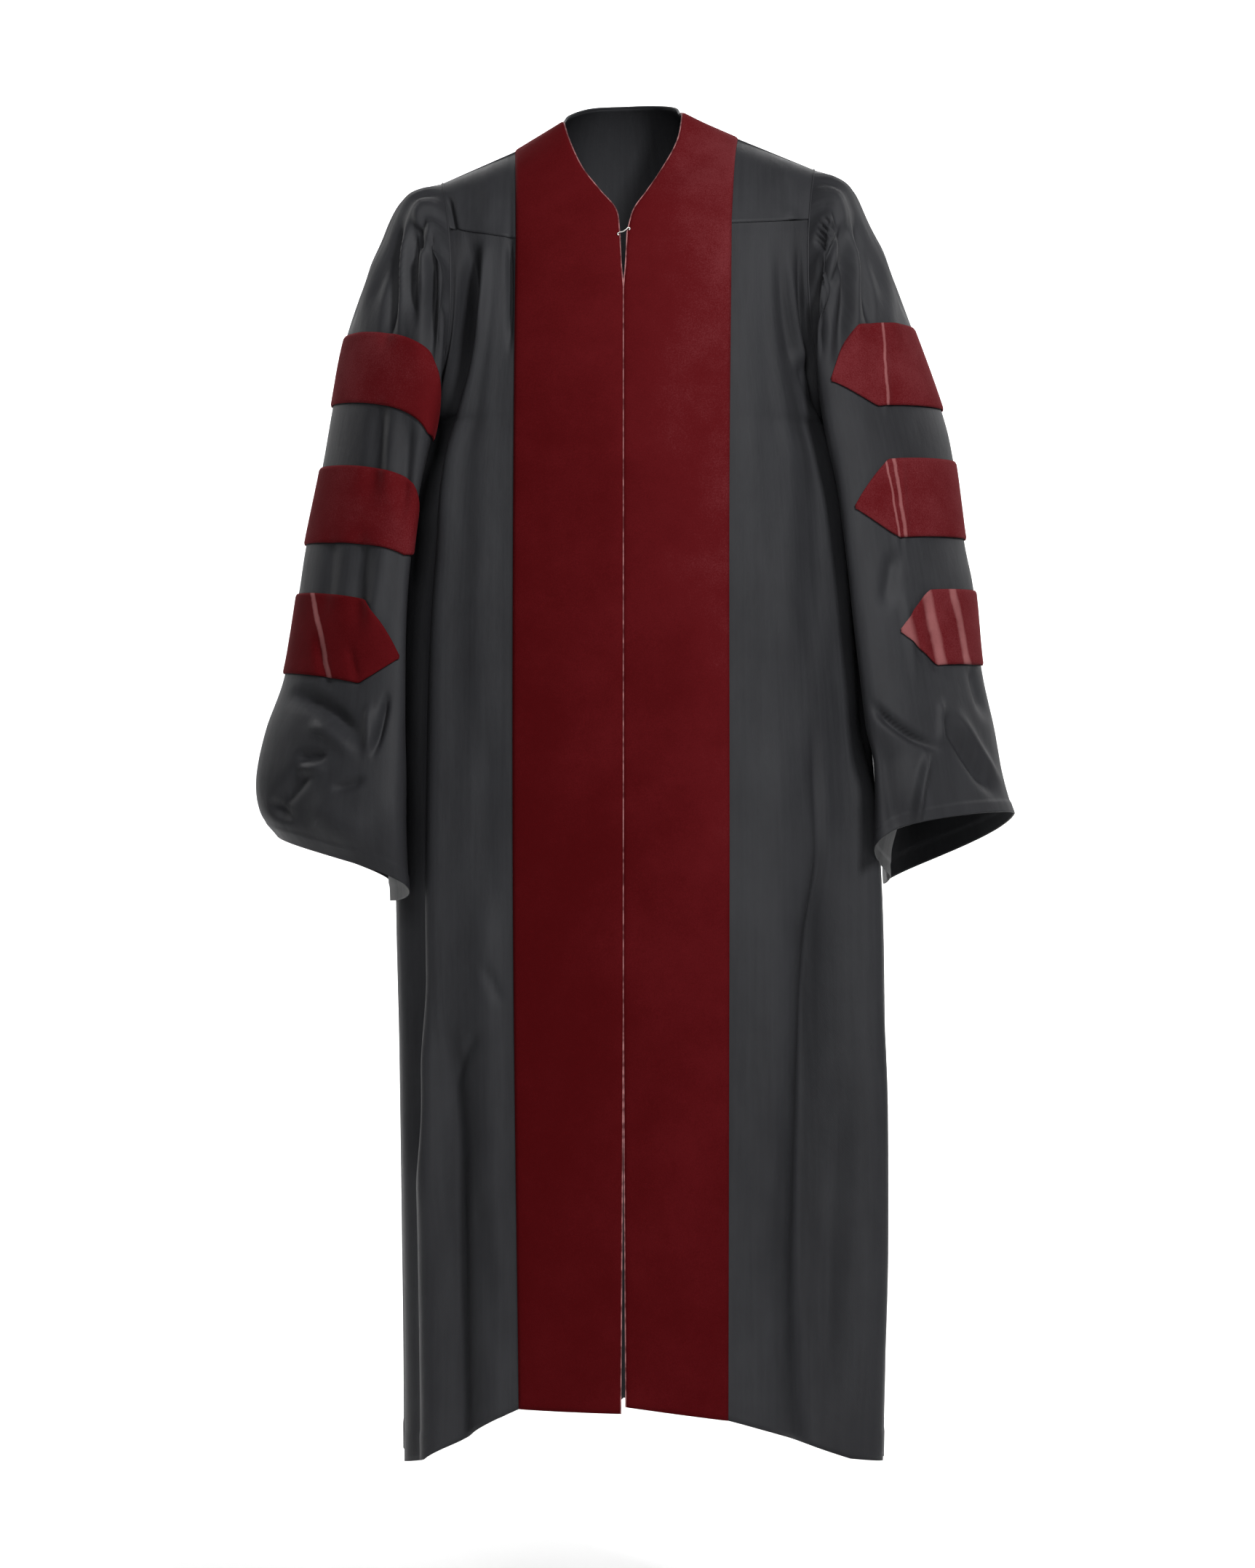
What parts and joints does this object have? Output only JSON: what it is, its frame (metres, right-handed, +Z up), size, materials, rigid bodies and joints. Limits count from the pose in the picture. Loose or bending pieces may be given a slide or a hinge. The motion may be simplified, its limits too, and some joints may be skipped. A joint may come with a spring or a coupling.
{
  "type": "graduation gown",
  "caption": "Full-length doctoral-style graduation gown, worn and hollow: black cloth, maroon velvet fronts and velvet bars on long bell sleeves, open V neck.",
  "frame": {"origin": "between the shoulders at the foot of the neck, where the wearer's neck and shoulders carry the gown", "axes": "+Z up, -Y towards the front of the gown, +X towards the wearer's left"},
  "size_m": [0.7115, 0.32, 1.2835],
  "materials": {
    "gown_cloth": "charcoal-black plain-weave cloth with a faint sheen",
    "maroon_velvet": "maroon velvet with a mottled nap",
    "hook_wire": "bent wire hook"
  },
  "bodies": {
    "root": {"back": "gown_cloth", "back_yoke": "gown_cloth", "front_left": "gown_cloth", "front_right": "gown_cloth", "front_yoke_left": "gown_cloth", "front_yoke_right": "gown_cloth", "sleeve_left": "gown_cloth", "sleeve_right": "gown_cloth", "velvet_front_left": "maroon_velvet", "velvet_front_right": "maroon_velvet", "bar_left_1": "maroon_velvet", "bar_left_2": "maroon_velvet", "bar_left_3": "maroon_velvet", "bar_right_1": "maroon_velvet", "bar_right_2": "maroon_velvet", "bar_right_3": "maroon_velvet", "neck_hook": "hook_wire"}
  },
  "joints": []
}
